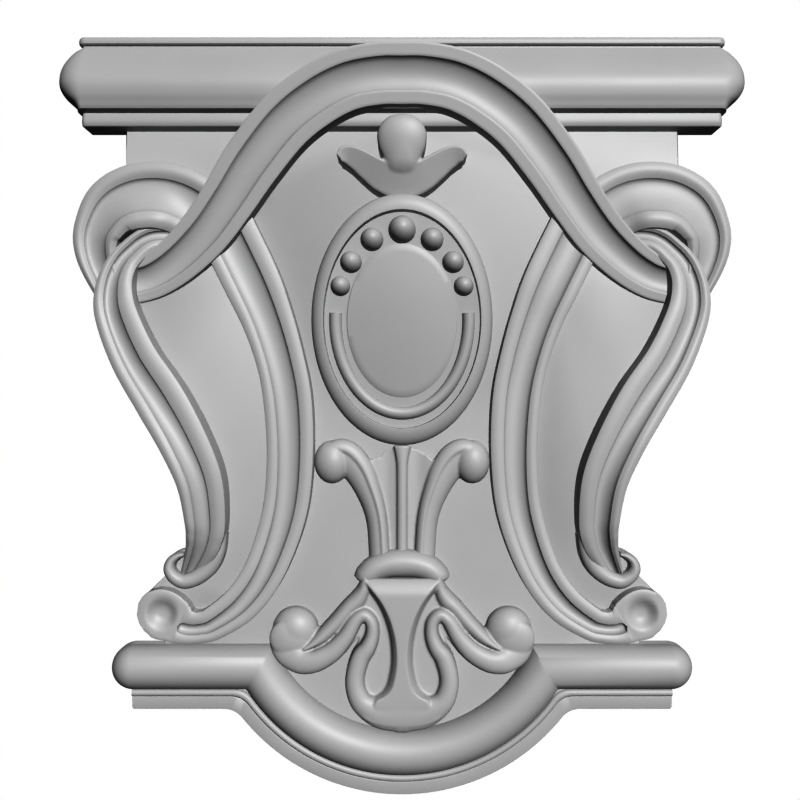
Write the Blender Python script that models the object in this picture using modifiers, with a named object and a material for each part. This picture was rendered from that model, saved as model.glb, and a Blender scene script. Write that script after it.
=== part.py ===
"""Carved onlay for the head of a pilaster: one solid with a flat back.

A flat field stands between a cornice and a base moulding. On it lie an ogee arch band, ear
scrolls, S straps and C scrolls at the sides, and a palmette, an oval and a husk down the middle.

Everything is drawn in plan, x to the right, y up and z out of the field, on the left half only.
The halves are mirrored, and the finished part is stood up so that its front faces -Y.
"""

import math

import bmesh
import bpy
from mathutils import Matrix, Vector

MM = 0.001

# Field: the flat ground between the base moulding and the cornice
FIELD_HALF_WIDTH = 0.0908
FIELD_FOOT_HALF_WIDTH = 0.0795
FIELD_BOTTOM = -0.0740
FIELD_HEIGHT = 0.1686
FIELD_DEPTH = 0.0042
CONSOLE_DEPTH = 0.0082

# Cornice: fillet, torus and top fillet, returned round both sides
CORNICE_HALF_WIDTH = 0.1034
CORNICE_DEPTH = 0.0106
CORNICE_LOWER_FILLET = 0.0043
CORNICE_TORUS_HEIGHT = 0.0210
CORNICE_TORUS_REACH = 0.0062
CORNICE_END_REACH = 0.0072
CORNICE_TOP_FILLET = 0.0033
CORNICE_TOP_REACH = 0.0008
CORNER_ROUND = 0.0014
CORNER_STEPS = 3

# Base: half-round moulding over a thin board, both dropping in an arc at the middle
BASE_HALF_WIDTH = 0.0887
BASE_LINE = -0.0812
BASE_TORUS_RADIUS = 0.00733
BASE_ARC_RADIUS = 0.0533
BASE_ARC_CENTRE = -0.0560
BOARD_DEPTH = 0.0046
BOARD_MARGIN = 0.0068
BOARD_BEAD_WIDTH = 0.0022
BOARD_BEAD_HEIGHT = 0.0009

# Bands: the share of the width that each rim takes, and how deep the cove between them is
RIM_SHARE = 0.23
STRAP_INNER_SHARE = 0.37
RIM_EDGE = 0.0012
RIM_EDGE_SHARE = 0.10
ARCH_COVE = 0.0025
ARCH_FOOT_DEPTH = 0.0110
ARCH_LEAN = 0.1435
ARCH_THICKNESS = 0.0066
ARCH_WEB_SHARE = 0.55
EAR_COVE = 0.0024
STRAP_COVE = 0.0026
SCROLL_COVE = 0.0021

# Volute at the foot of the C scroll
VOLUTE_RADIUS = 0.00735
VOLUTE_EYE_RADIUS = 0.0050
VOLUTE_DEPTH = 0.0133
VOLUTE_DISH = 0.0014

# Oval medallion, which leans forward from its lower end
OVAL_CENTRE = 0.0318
OVAL_HALF_WIDTH = 0.0289
OVAL_HALF_HEIGHT = 0.0403
OVAL_LEAN = 0.114
OVAL_RING_SHARE = 0.868
OVAL_RING_DEPTH = 0.0078
OVAL_FLOOR_DEPTH = 0.0047
DISC_SHARE = 0.604
DISC_EDGE_DEPTH = 0.0058
DISC_CROWN_DEPTH = 0.0072
PEARL_RING_SHARE = 0.728
PEARL_RADII = (0.0044, 0.0037, 0.0035, 0.0032)
PEARL_ANGLES = (0.0, 26.6, 49.6, 67.3)
PEARL_FLATNESS = 0.63
ROD_WIDTH = 0.0041
ROD_DEPTH = 0.0068
ROD_END_ANGLE = 5.0

# Palmette, husk and the finish of the whole
BUD_DEPTH = 0.0158
BUD_SPRING = 0.0120
LEAF_DEPTH = 0.0148
LEAF_DROP = 0.0022
STEM_DEPTH = 0.0088
STEM_RELIEF = 0.0032
HUSK_BALL_HALF_WIDTH = 0.0058
HUSK_BALL_HALF_HEIGHT = 0.0071
HUSK_BALL_SPRING = 0.0052
HUSK_BALL_DEPTH = 0.0092
RIB_DEPTH = 0.0080
FAN_DEPTH = 0.0064
COLLAR_DEPTH = 0.0112
BELL_DEPTH = 0.0127
BELL_SHOULDER = 0.0105
RECESS_DEPTH = 0.0092
SLAB_DEPTH = 0.0062
LOWER_ROLL_DEPTH = 0.0124
UPPER_ROLL_DEPTH = 0.0106
LOWER_BALL_RADIUS = 0.0079
LOWER_BALL_DEPTH = 0.0110
CURL_DEPTH = 0.0126
CENTRE_OVERRUN = 0.0015
FOOT = 0.0021
COVE_STEPS = 3
ROLL_STEPS = 4
FLAT_ANGLE = 4.0
FINISH = (0.40, 0.40, 0.40, 1.0)
ROUGHNESS = 0.45


def on_field(u, v):
    """A place on the field, in hundredths of its half width and of its height."""
    return Vector((u / 100 * FIELD_HALF_WIDTH, FIELD_BOTTOM + v / 100 * FIELD_HEIGHT))


def eased(a, b, c, d, t):
    """The value at share t of the way from b to c, on a curve that also knows a and d."""
    bend = 2 * a - 5 * b + 4 * c - d
    turn = 3 * b - a - 3 * c + d
    return 0.5 * (2 * b + (c - a) * t + bend * t**2 + turn * t**3)


def smooth(stations, steps):
    """Rows along a curve through the stations, every column eased the same way."""
    rows = [stations[0], *stations, stations[-1]]
    found = []
    for a, b, c, d in zip(rows, rows[1:], rows[2:], rows[3:]):
        for step in range(steps):
            found.append([eased(*column, step / steps) for column in zip(a, b, c, d)])
    return [*found, list(stations[-1])]


def finished(name, mesh):
    """The mesh as a hidden object that the field is later joined with."""
    bmesh.ops.remove_doubles(mesh, verts=mesh.verts, dist=1e-6)
    bmesh.ops.recalc_face_normals(mesh, faces=mesh.faces)
    data = bpy.data.meshes.new(name)
    mesh.to_mesh(data)
    mesh.free()
    made = bpy.data.objects.new(name, data)
    made.hide_render = True
    made.display_type = "WIRE"
    relief.objects.link(made)
    return made


def loft(name, rings):
    """A closed mesh through rings of equal count: the first and the last are capped."""
    mesh = bmesh.new()
    loop = [mesh.verts.new(point) for point in rings[0]]
    mesh.faces.new(loop)
    for ring in rings[1:]:
        edges = [mesh.edges.get((loop[i - 1], loop[i])) for i in range(len(loop))]
        grown = bmesh.ops.extrude_edge_only(mesh, edges=edges)["geom"]
        fresh = {item for item in grown if isinstance(item, bmesh.types.BMVert)}
        loop = [
            next(edge.other_vert(vert) for edge in vert.link_edges if edge.other_vert(vert) in fresh)
            for vert in loop
        ]
        for vert, point in zip(loop, ring):
            vert.co = point
    mesh.faces.new(loop)
    return finished(name, mesh)


def plate(name, outline, depth, foot=0.0):
    """A flat piece of this outline, from its foot to its depth."""
    return loft(name, [[(x, y, z) for x, y in outline] for z in (foot, depth)])


def swelling(name, outline, centre, rows):
    """A piece whose outline shrinks towards its centre as it rises: rows of share and height."""
    rings = []
    for share, height in rows:
        places = [centre + (Vector(point) - centre) * share for point in outline]
        rings.append([(place.x, place.y, height) for place in places])
    return loft(name, rings)


def ellipse(centre, half_width, half_height, count):
    angles = [2 * math.pi * i / count for i in range(count)]
    return [
        (centre[0] + half_width * math.cos(a), centre[1] + half_height * math.sin(a))
        for a in angles
    ]


def dome_rows(foot, crown, steps):
    """Rows for a swelling: straight up to foot, then a quarter round up to crown."""
    turns = [math.pi / 2 * i / steps for i in range(steps + 1)]
    return [(1, FOOT)] + [(math.cos(a), foot + (crown - foot) * math.sin(a)) for a in turns]


def across(line):
    """The left-hand direction at each point of a line."""
    found = []
    for i, _ in enumerate(line):
        ahead = line[min(i + 1, len(line) - 1)] - line[max(i - 1, 0)]
        found.append(Vector((-ahead.y, ahead.x)).normalized())
    return found


def band(name, route, section, steps=2):
    """A band along a route of rows (u, v, width in mm, ...): section takes what follows."""
    stations = smooth(route, steps)
    line = [on_field(row[0], row[1]) for row in stations]
    rings = []
    for centre, side, (_, _, width, *rest) in zip(line, across(line), stations):
        ring = []
        for share, height in section(*rest):
            place = centre + side * (width * MM / 2 * share)
            ring.append((place.x, place.y, height))
        rings.append(ring)
    return loft(name, rings)


def moulded(outer, inner, cove, inner_share=RIM_SHARE):
    """The face of a band: a rim at each side and a cove between, as shares across and heights."""
    start, end = 2 * RIM_SHARE - 1, 1 - 2 * inner_share
    face = [(-1, outer - RIM_EDGE), (RIM_EDGE_SHARE - 1, outer), (start, outer)]
    for step in range(1, COVE_STEPS):
        t = step / COVE_STEPS
        sunk = cove * math.sin(math.pi * t) ** 0.7
        face.append((start + (end - start) * t, outer + (inner - outer) * t - sunk))
    return face + [(end, inner), (1 - RIM_EDGE_SHARE, inner), (1, inner - RIM_EDGE)]


def standing(*face, foot=0.0):
    """A band's section that stands on its foot with upright sides."""
    return [(-1, foot), *moulded(*face), (1, foot)]


def rolled(crown, spring, foot):
    """A half-round section: straight up from foot to spring, then round to crown."""
    turns = [math.pi * i / ROLL_STEPS for i in range(ROLL_STEPS + 1)]
    arc = [(-math.cos(a), spring + (crown - spring) * math.sin(a)) for a in turns]
    return [(-1, foot), *arc, (1, foot)]


def roll(name, route, crown, spring, steps=2, foot=FOOT):
    return band(name, route, lambda: rolled(crown, spring, foot), steps)


def lean(piece, rise, foot):
    """Tips a piece forward: all of it above its foot moves out by rise for each step up."""
    for vert in piece.data.vertices:
        if vert.co.z > FOOT * 1.01:
            vert.co.z += rise * (vert.co.y - foot)


def base_line(offset, steps=10):
    """The base moulding's line from the middle to the left end, set out by an offset."""
    radius = BASE_ARC_RADIUS + offset
    straight = BASE_LINE - offset
    meeting = math.acos((BASE_ARC_CENTRE - straight) / radius)
    turns = [meeting * i / steps for i in range(steps + 1)]
    line = [(CENTRE_OVERRUN, BASE_ARC_CENTRE - radius)]
    line += [(-radius * math.sin(a), BASE_ARC_CENTRE - radius * math.cos(a)) for a in turns]
    return line + [(-BASE_HALF_WIDTH, straight)]


def make_cornice():
    """The cornice as outlines stacked upwards, each reaching further out or less."""
    low = FIELD_BOTTOM + FIELD_HEIGHT
    spring = low + CORNICE_LOWER_FILLET
    crown = spring + CORNICE_TORUS_HEIGHT
    # Shares of the torus: how high, and how far out in front and at the ends
    torus = [
        (0.00, 0.70, 0.11), (0.02, 0.77, 0.25), (0.14, 0.92, 0.68), (0.27, 1.00, 0.93),
        (0.40, 0.98, 1.00), (0.55, 0.84, 0.86), (0.76, 0.46, 0.49), (1.00, 0.00, 0.00),
    ]
    # Shares of the top fillet: how high, and how far out
    fillet = [(0.10, -0.30), (0.24, 0.20), (0.45, 1.00), (0.76, 1.00), (1.00, 0.30)]
    profile = [(low, 0, 0), (spring, 0, 0)]
    for rise, reach, end_reach in torus:
        height = spring + CORNICE_TORUS_HEIGHT * rise
        profile.append((height, CORNICE_TORUS_REACH * reach, CORNICE_END_REACH * end_reach))
    for rise, reach in fillet:
        out = CORNICE_TOP_REACH * reach
        profile.append((crown + CORNICE_TOP_FILLET * rise, out, out))
    rings = []
    side, front = CORNICE_HALF_WIDTH - CORNER_ROUND, CORNICE_DEPTH - CORNER_ROUND
    for height, reach, end_reach in profile:
        out, end_out = CORNER_ROUND + reach, CORNER_ROUND + end_reach
        outline = [(CENTRE_OVERRUN, 0), (CENTRE_OVERRUN, front + out)]
        for i in range(CORNER_STEPS + 1):
            turn = math.pi / 2 * i / CORNER_STEPS
            outline.append((-side - end_out * math.sin(turn), front + out * math.cos(turn)))
        outline.append((-side - end_out, 0))
        rings.append([(x, height, z) for x, z in outline])
    loft("cornice", rings)


def make_base():
    """The half-round moulding with a ball end, the board under it and the bead between them."""
    turns = [math.pi * i / 8 for i in range(9)]
    arc = [(-math.cos(a), math.sin(a)) for a in turns]
    lines = [base_line(share * BASE_TORUS_RADIUS) for share, _ in arc]
    rings = []
    for k in range(len(lines[0])):
        ring = [(*lines[0][k], 0)]
        for line, (_, rise) in zip(lines, arc):
            ring.append((*line[k], FIELD_DEPTH + rise * BASE_TORUS_RADIUS))
        rings.append([*ring, (*lines[-1][k], 0)])
    ends = [line[-1] for line in lines]
    for turn in [math.pi / 2 * i / 4 for i in range(1, 5)]:
        ring = [(*ends[0], 0)]
        for (x, y), (_, rise) in zip(ends, arc):
            out = rise * BASE_TORUS_RADIUS
            ring.append((x - out * math.sin(turn), y, FIELD_DEPTH + out * math.cos(turn)))
        rings.append([*ring, (*ends[-1], 0)])
    rings.append([(x, y, 0) for x, y, _ in rings[-1]])
    loft("base moulding", rings)
    for name, margin, depth in (
        ("base board", BOARD_MARGIN, BOARD_DEPTH),
        ("base bead", BOARD_BEAD_WIDTH, BOARD_DEPTH + BOARD_BEAD_HEIGHT),
    ):
        edge = base_line(BASE_TORUS_RADIUS + margin)
        plate(name, [*base_line(0), *reversed(edge)], depth)


def make_bands():
    """The arch, which hangs over a narrower web, and the ear, strap and C scroll of the side."""
    arch = [
        (3.0, 108.3, 18.9), (-8.3, 108.2, 18.9), (-19.0, 107.1, 18.9), (-29.8, 104.3, 19.0),
        (-41.2, 99.6, 18.9), (-52.4, 92.4, 18.5), (-61.2, 85.5, 17.3), (-69.8, 79.4, 16.4),
        (-79.5, 74.4, 15.1), (-88.1, 71.4, 14.2), (-95.4, 70.2, 13.8),
    ]
    under = ARCH_FOOT_DEPTH - ARCH_THICKNESS
    web = ARCH_WEB_SHARE
    face = moulded(ARCH_FOOT_DEPTH, ARCH_FOOT_DEPTH, ARCH_COVE)
    section = [(-web, FOOT), (-web, under), (-1, under), *face]
    section += [(1, under), (web, under), (web, FOOT)]
    lean(band("arch", arch, lambda: section), ARCH_LEAN, on_field(*arch[-1][:2]).y)
    ear = [
        (-66.7, 79.9, 19.4, 9.3, 9.4), (-74.5, 84.5, 21.2, 9.3, 9.9),
        (-84.3, 86.7, 22.0, 9.3, 12.2), (-94.9, 86.6, 21.9, 9.3, 12.7),
        (-103.0, 84.5, 20.4, 9.3, 12.4), (-108.0, 80.6, 16.8, 9.3, 11.9),
        (-109.2, 77.2, 14.7, 9.3, 11.4), (-107.6, 73.0, 12.3, 9.3, 10.8),
        (-102.9, 66.9, 9.1, 9.3, 10.2),
    ]
    band("ear", ear, lambda outer, inner: standing(outer * MM, inner * MM, EAR_COVE))
    strap = [
        (-72.2, 78.4, 7.8, 7.6, 8.7), (-88.0, 78.7, 8.6, 9.9, 11.3), (-96.6, 75.4, 9.6, 11.2, 12.7),
        (-100.6, 71.5, 11.2, 12.4, 14.0),
        (-101.5, 66.9, 13.3, 13.4, 15.0), (-99.4, 62.3, 14.3, 14.4, 16.0),
        (-93.1, 55.1, 15.1, 16.5, 17.3), (-84.1, 47.7, 16.0, 18.6, 18.3),
        (-76.1, 40.2, 15.2, 20.0, 18.7), (-70.3, 32.7, 14.2, 19.8, 18.2),
        (-68.6, 25.1, 12.7, 18.1, 16.5), (-69.4, 21.2, 11.4, 16.9, 15.3),
        (-71.8, 17.6, 9.6, 14.8, 13.3), (-74.9, 14.6, 7.7, 13.2, 12.0),
    ]
    share = STRAP_INNER_SHARE
    band("strap", strap, lambda outer, inner: standing(outer * MM, inner * MM, STRAP_COVE, share))
    scroll = [
        (-63.8, 81.7, 18.7, 10.2), (-53.5, 70.5, 18.3, 11.3), (-47.6, 62.9, 16.6, 11.3),
        (-43.2, 55.2, 15.6, 11.3), (-40.6, 47.7, 15.6, 11.3), (-39.7, 38.0, 15.0, 11.3),
        (-40.9, 28.5, 14.5, 11.3), (-44.4, 20.9, 13.7, 11.7), (-50.0, 13.8, 12.7, 12.4),
        (-57.5, 8.6, 12.0, 12.9), (-67.4, 5.4, 10.6, 13.3), (-76.0, 4.4, 10.0, 13.3),
        (-84.0, 5.2, 8.0, 13.3),
    ]
    band("C scroll", scroll, lambda rim: standing(rim * MM, rim * MM, SCROLL_COVE, foot=FOOT))


def make_ends():
    """The dished volute that ends the C scroll and the curl that ends the strap."""
    eye = VOLUTE_EYE_RADIUS / VOLUTE_RADIUS
    low = VOLUTE_DEPTH - RIM_EDGE
    rows = [(1, 0), (1, low), (0.93, VOLUTE_DEPTH - RIM_EDGE / 4), (0.86, VOLUTE_DEPTH)]
    rows += [(eye, VOLUTE_DEPTH), (eye * 0.8, VOLUTE_DEPTH - VOLUTE_DISH * 0.6)]
    rows += [(eye * 0.45, VOLUTE_DEPTH - VOLUTE_DISH), (0, VOLUTE_DEPTH - VOLUTE_DISH)]
    centre = on_field(-85.2, 7.3)
    swelling("volute", ellipse(centre, VOLUTE_RADIUS, VOLUTE_RADIUS, 24), centre, rows)
    curl = [
        (-65.6, 22.0, 4.8), (-66.6, 19.0, 4.6), (-68.8, 16.7, 4.5), (-72.2, 15.0, 4.3),
        (-76.5, 14.2, 4.2), (-80.4, 15.1, 3.8), (-81.8, 17.0, 3.2), (-79.7, 18.6, 2.4),
    ]
    roll("curl", curl, CURL_DEPTH, CURL_DEPTH * 0.8, foot=0.0)


def make_medallion():
    """The oval: a rounded ring, a disc, pearls over the top and a rod round the bottom."""
    centre = Vector((0, OVAL_CENTRE))
    foot = OVAL_CENTRE - OVAL_HALF_HEIGHT
    ring, edge = OVAL_RING_SHARE, 1 - OVAL_RING_SHARE
    rise = OVAL_RING_DEPTH - OVAL_FLOOR_DEPTH
    rows = [(1, FOOT)]
    for i in range(5):
        turn = math.pi / 2 * i / 4
        rows.append((ring + edge * math.cos(turn), OVAL_FLOOR_DEPTH + rise * math.sin(turn)))
    rows += [(ring - 0.02, OVAL_FLOOR_DEPTH), (0.4, OVAL_FLOOR_DEPTH)]
    outline = ellipse(centre, OVAL_HALF_WIDTH, OVAL_HALF_HEIGHT, 36)
    pieces = [swelling("oval", outline, centre, rows)]
    disc = [(DISC_SHARE, FOOT), (DISC_SHARE, DISC_EDGE_DEPTH)]
    for share in (0.8, 0.5, 0):
        crown = DISC_CROWN_DEPTH - DISC_EDGE_DEPTH
        disc.append((DISC_SHARE * share, DISC_EDGE_DEPTH + crown * (1 - share**2)))
    pieces.append(swelling("disc", outline[::2], centre, disc))
    wide, tall = OVAL_HALF_WIDTH * PEARL_RING_SHARE, OVAL_HALF_HEIGHT * PEARL_RING_SHARE
    for radius, angle in zip(PEARL_RADII, PEARL_ANGLES):
        turn = math.radians(angle)
        place = Vector((-wide * math.sin(turn), OVAL_CENTRE + tall * math.cos(turn)))
        rows = dome_rows(OVAL_FLOOR_DEPTH, OVAL_FLOOR_DEPTH + 2 * radius * PEARL_FLATNESS, 3)
        pieces.append(swelling("pearl", ellipse(place, radius, radius, 12), place, rows))
    rod = []
    for i in range(13):
        turn = math.radians(ROD_END_ANGLE - (96 + ROD_END_ANGLE) * i / 12)
        u = -wide * math.cos(turn) / FIELD_HALF_WIDTH * 100
        v = (OVAL_CENTRE + tall * 1.03 * math.sin(turn) - FIELD_BOTTOM) / FIELD_HEIGHT * 100
        rod.append((u, v, ROD_WIDTH / MM))
    pieces.append(roll("rod", rod, ROD_DEPTH, OVAL_FLOOR_DEPTH, 1))
    for piece in pieces:
        lean(piece, OVAL_LEAN, foot)


def make_palmette():
    """The bud over the oval, with a leaf to each side."""
    leaf = [
        (-22.2, 94.7, 3.6), (-20.9, 94.8, 5.2), (-18.6, 94.4, 6.2), (-15.4, 93.4, 7.4),
        (-11.2, 91.6, 8.7),
        (-6.3, 89.7, 9.9), (0.0, 89.0, 10.8), (2.8, 89.0, 10.8),
    ]
    low = LEAF_DEPTH - LEAF_DROP
    section = [(-1, FOOT), (-1, low - RIM_EDGE / 2), (-0.9, low), (0.86, LEAF_DEPTH)]
    section += [(1, LEAF_DEPTH - RIM_EDGE), (1, FOOT)]
    band("palmette leaf", leaf, lambda: section)
    bulb = [
        (0.0, 102.5), (-4.4, 101.9), (-7.4, 100.4), (-8.7, 98.4), (-8.4, 96.0), (-7.0, 94.0),
        (-5.5, 92.2), (-4.9, 90.0), (-3.0, 88.9), (0.0, 88.7),
    ]
    outline = [on_field(u, v) for u, v in smooth(bulb, 2)]
    outline += [Vector((-point.x, point.y)) for point in reversed(outline[1:-1])]
    swelling("palmette bud", outline, on_field(0, 96.0), dome_rows(BUD_SPRING, BUD_DEPTH, 4))


def make_husk():
    """The husk: a fan between two stems with balls, a collar, and a bell over scrolled leaves."""
    stem = [
        (-25.6, 36.6, 7.4), (-22.2, 36.9, 10.8), (-18.6, 35.8, 11.0), (-15.2, 33.5, 9.9),
        (-12.2, 29.9, 8.1), (-10.0, 26.4, 7.2), (-8.8, 22.6, 6.8), (-8.1, 16.8, 6.8),
    ]
    # Across two rolls side by side, and how far below the crown in shares of their relief
    rolls = [
        (-1, 1.0), (-0.75, 0.4), (-0.35, 0.16), (0.05, 0.28), (0.3, 0.56), (0.5, 0.16),
        (0.75, 0.0), (0.93, 0.31), (1, 0.88),
    ]
    face = [(share, STEM_DEPTH - STEM_RELIEF * sunk) for share, sunk in rolls]
    band("husk stem", stem, lambda: [(-1, FOOT), *face, (1, FOOT)])
    ball = on_field(-25.3, 35.6)
    rows = dome_rows(HUSK_BALL_SPRING, HUSK_BALL_DEPTH, 4)
    swelling("husk ball", ellipse(ball, HUSK_BALL_HALF_WIDTH, HUSK_BALL_HALF_HEIGHT, 20), ball, rows)
    fan = [(-11.1, 36.2), (-7.5, 37.6), (-3.2, 38.6), (1.6, 38.9), (1.6, 16.6), (-10.8, 16.6)]
    plate("husk fan", [on_field(u, v) for u, v in fan], FAN_DEPTH, FOOT)
    rib = [(-2.9, 38.0), (-1.8, 36.2), (-1.5, 33.0), (-1.6, 16.8), (1.6, 16.8), (1.6, 38.6)]
    plate("husk rib", [on_field(u, v) for u, v in rib], RIB_DEPTH, FOOT)
    collar = [
        (-15.8, 14.2, 3.2), (-15.2, 14.3, 5.2), (-13.6, 14.6, 6.5), (-10.6, 15.2, 7.7),
        (-6.0, 15.8, 8.8), (0.0, 16.0, 9.4), (2.8, 16.0, 9.4),
    ]
    roll("husk collar", collar, COLLAR_DEPTH, COLLAR_DEPTH * 0.62)
    slab = [
        (1.6, 13.7), (-14.4, 12.4), (-18.0, 9.5), (-23.0, 6.8), (-30.2, 2.7), (-28.5, -2.6),
        (-20.5, -1.6), (-14.0, 3.0), (-18.7, -2.7), (-19.4, -6.6), (-17.0, -11.4),
        (-12.6, -13.8), (-6.5, -15.0), (1.6, -15.3),
    ]
    plate("husk slab", [on_field(u, v) for u, v in slab], SLAB_DEPTH, FOOT)
    recess = [(1.6, 10.0), (-10.6, 8.0), (-12.0, 0.0), (-14.0, -8.0), (-8.0, -11.6), (1.6, -11.6)]
    plate("husk recess floor", [on_field(u, v) for u, v in recess], RECESS_DEPTH, FOOT)
    bell = [
        (-13.4, 13.1), (-9.0, 10.7), (-5.4, 8.2), (-2.8, 4.7), (-1.7, 0.9), (-1.5, -1.9),
        (-1.9, -5.5), (-3.5, -8.9), (-3.0, -12.0),
    ]
    left = smooth(bell, 2)
    face = [(*on_field(u, v), BELL_DEPTH) for u, v in left]
    for i in range(4):
        x, y, _ = face[i]
        face[i] = (x, y, BELL_SHOULDER + (BELL_DEPTH - BELL_SHOULDER) * i / 4)
    edge = [Vector((CENTRE_OVERRUN, y, z)) for _, y, z in face]
    rings = [
        [(x, y, FOOT), (x, y, z), tuple(e), (e.x, e.y, FOOT)] for (x, y, z), e in zip(face, edge)
    ]
    loft("husk bell", rings)
    lower = [
        (-44.0, 2.6, 5.4), (-43.0, 0.2, 6.2), (-40.2, -2.1, 6.6), (-35.8, -3.2, 6.8),
        (-29.8, -2.9, 6.6), (-25.2, -1.4, 6.4), (-21.6, 0.8, 6.4), (-18.4, 3.1, 6.4),
        (-16.0, 5.2, 5.2),
        (-13.5, 6.3, 3.9), (-11.0, 4.9, 4.2), (-10.6, 2.9, 4.5), (-12.4, 0.5, 5.5),
        (-15.2, -2.0, 6.1), (-16.8, -5.6, 6.0), (-16.1, -8.5, 6.4), (-13.5, -10.8, 7.1),
        (-7.8, -12.0, 9.0), (0.0, -12.3, 10.3), (2.8, -12.3, 10.3),
    ]
    roll("husk lower roll", lower, LOWER_ROLL_DEPTH, LOWER_ROLL_DEPTH * 0.68, 1)
    upper = [
        (-13.2, 11.4, 3.0), (-15.0, 9.4, 6.2), (-18.4, 7.6, 6.6), (-22.6, 4.9, 7.0),
        (-26.7, 2.3, 7.0), (-30.4, 0.4, 6.0), (-34.5, -0.4, 3.0),
    ]
    roll("husk upper roll", upper, UPPER_ROLL_DEPTH, UPPER_ROLL_DEPTH * 0.68)
    ball = on_field(-38.5, 2.9)
    rows = dome_rows(SLAB_DEPTH, LOWER_BALL_DEPTH, 4)
    outline = ellipse(ball, LOWER_BALL_RADIUS, LOWER_BALL_RADIUS, 24)
    swelling("husk lower ball", outline, ball, rows)


def make_grounds():
    """The console plate behind the side scrolls, and the field that all the rest is joined to."""
    console = [
        (-67.4, 5.4), (-78.0, 5.5), (-86.0, 6.0), (-92.0, 8.5), (-93.1, 9.6), (-90.6, 11.0),
        (-85.1, 13.3), (-80.0, 15.0), (-74.0, 16.9), (-69.4, 21.2), (-68.6, 25.1), (-70.3, 32.7),
        (-76.1, 40.2), (-84.1, 47.7), (-93.1, 55.1), (-99.4, 62.3), (-101.5, 66.9), (-98.0, 72.8),
        (-84.0, 79.0), (-66.0, 80.8), (-53.5, 70.5), (-43.2, 55.2), (-39.7, 40.0), (-42.3, 24.7),
        (-53.5, 10.9),
    ]
    plate("console", [on_field(u, v) for u, v in console], CONSOLE_DEPTH)
    side = [
        (-84.0, 7.3), (-77.0, 15.0), (-69.5, 21.9), (-69.0, 28.9), (-72.5, 36.9), (-80.0, 43.9),
        (-88.5, 51.3), (-96.5, 58.8), (-101.5, 66.8), (-105.5, 70.8), (-108.5, 76.8),
        (-105.0, 82.8), (-100.0, 85.7), (-100.0, 100.8),
    ]
    foot = (-FIELD_FOOT_HALF_WIDTH, BASE_LINE)
    outline = base_line(0)[:-1] + [foot] + [on_field(u, v) for u, v in side]
    top = on_field(0, 100.8).y
    return plate("onlay", [*outline, (CENTRE_OVERRUN, top)], FIELD_DEPTH)


for old in list(bpy.data.objects):
    bpy.data.objects.remove(old)
relief = bpy.data.collections.new("relief")
carving = bpy.data.collections.new("onlay")
for group in (relief, carving):
    bpy.context.scene.collection.children.link(group)
make_cornice()
make_base()
make_bands()
make_ends()
make_medallion()
make_palmette()
make_husk()
onlay = make_grounds()
relief.objects.unlink(onlay)
carving.objects.link(onlay)
onlay.hide_render = False
onlay.display_type = "TEXTURED"

joined = onlay.modifiers.new("carving", "BOOLEAN")
joined.operation = "UNION"
joined.solver = "EXACT"
joined.use_self = True
joined.operand_type = "COLLECTION"
joined.collection = relief
flats = onlay.modifiers.new("flats", "DECIMATE")
flats.decimate_type = "DISSOLVE"
flats.angle_limit = math.radians(FLAT_ANGLE)
halves = onlay.modifiers.new("halves", "MIRROR")
halves.use_axis = (True, False, False)
halves.use_bisect_axis = (True, False, False)
halves.use_bisect_flip_axis = (True, False, False)
halves.bisect_threshold = 1e-6
halves.merge_threshold = 1e-5

# Stood up: what was up the drawing becomes up, and the front turns to -Y
upright = Matrix(((1, 0, 0, 0), (0, 0, -1, 0), (0, 1, 0, 0), (0, 0, 0, 1)))
for piece in (*relief.objects, onlay):
    piece.matrix_world = upright

material = bpy.data.materials.new("onlay")
material.use_nodes = True
shader = material.node_tree.nodes["Principled BSDF"]
shader.inputs["Base Color"].default_value = FINISH
shader.inputs["Roughness"].default_value = ROUGHNESS
onlay.data.materials.append(material)
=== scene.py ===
"""A carved onlay for the head of a pilaster, cast in grey resin and seen from the front.

Everything is drawn flat, in millimetres: x to the right, y up and z out of the wall. As it is
finished, each piece is stood up so that its front faces -Y, and made metres.
"""

import math

import bmesh
import bpy
from mathutils import Matrix, Vector


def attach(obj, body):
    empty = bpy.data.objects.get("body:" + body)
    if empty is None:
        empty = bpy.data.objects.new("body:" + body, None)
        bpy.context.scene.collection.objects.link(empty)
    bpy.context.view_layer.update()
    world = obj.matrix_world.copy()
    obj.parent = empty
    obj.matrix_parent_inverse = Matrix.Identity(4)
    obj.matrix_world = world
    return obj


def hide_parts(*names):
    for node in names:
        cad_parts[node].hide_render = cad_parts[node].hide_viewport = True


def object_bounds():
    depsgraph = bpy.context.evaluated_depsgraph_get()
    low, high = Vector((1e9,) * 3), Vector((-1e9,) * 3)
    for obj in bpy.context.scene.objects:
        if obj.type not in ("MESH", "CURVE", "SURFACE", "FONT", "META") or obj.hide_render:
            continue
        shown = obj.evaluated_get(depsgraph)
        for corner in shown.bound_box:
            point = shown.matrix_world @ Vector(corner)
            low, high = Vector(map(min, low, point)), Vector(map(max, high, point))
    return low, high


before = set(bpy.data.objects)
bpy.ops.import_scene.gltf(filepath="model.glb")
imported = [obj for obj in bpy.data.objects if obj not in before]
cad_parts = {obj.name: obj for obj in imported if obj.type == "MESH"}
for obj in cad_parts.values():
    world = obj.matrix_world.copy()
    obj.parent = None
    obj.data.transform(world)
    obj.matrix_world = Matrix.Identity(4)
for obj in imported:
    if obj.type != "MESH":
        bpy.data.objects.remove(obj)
cad_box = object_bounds()

# Field
# The flat ground that all the ornament is raised from. It is cast with it in one pour, and its
# back is rubbed flat for gluing. A plate a little thicker stands behind the scrolls of each side.
FIELD_HALF_WIDTH = 90.8
FIELD_BOTTOM = -74.0
FIELD_HEIGHT = 168.6
FIELD_FOOT_HALF_WIDTH = 79.5
FIELD_DEPTH = 4.2
CONSOLE_DEPTH = 8.2
FRONT_EDGE = 0.35
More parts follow.
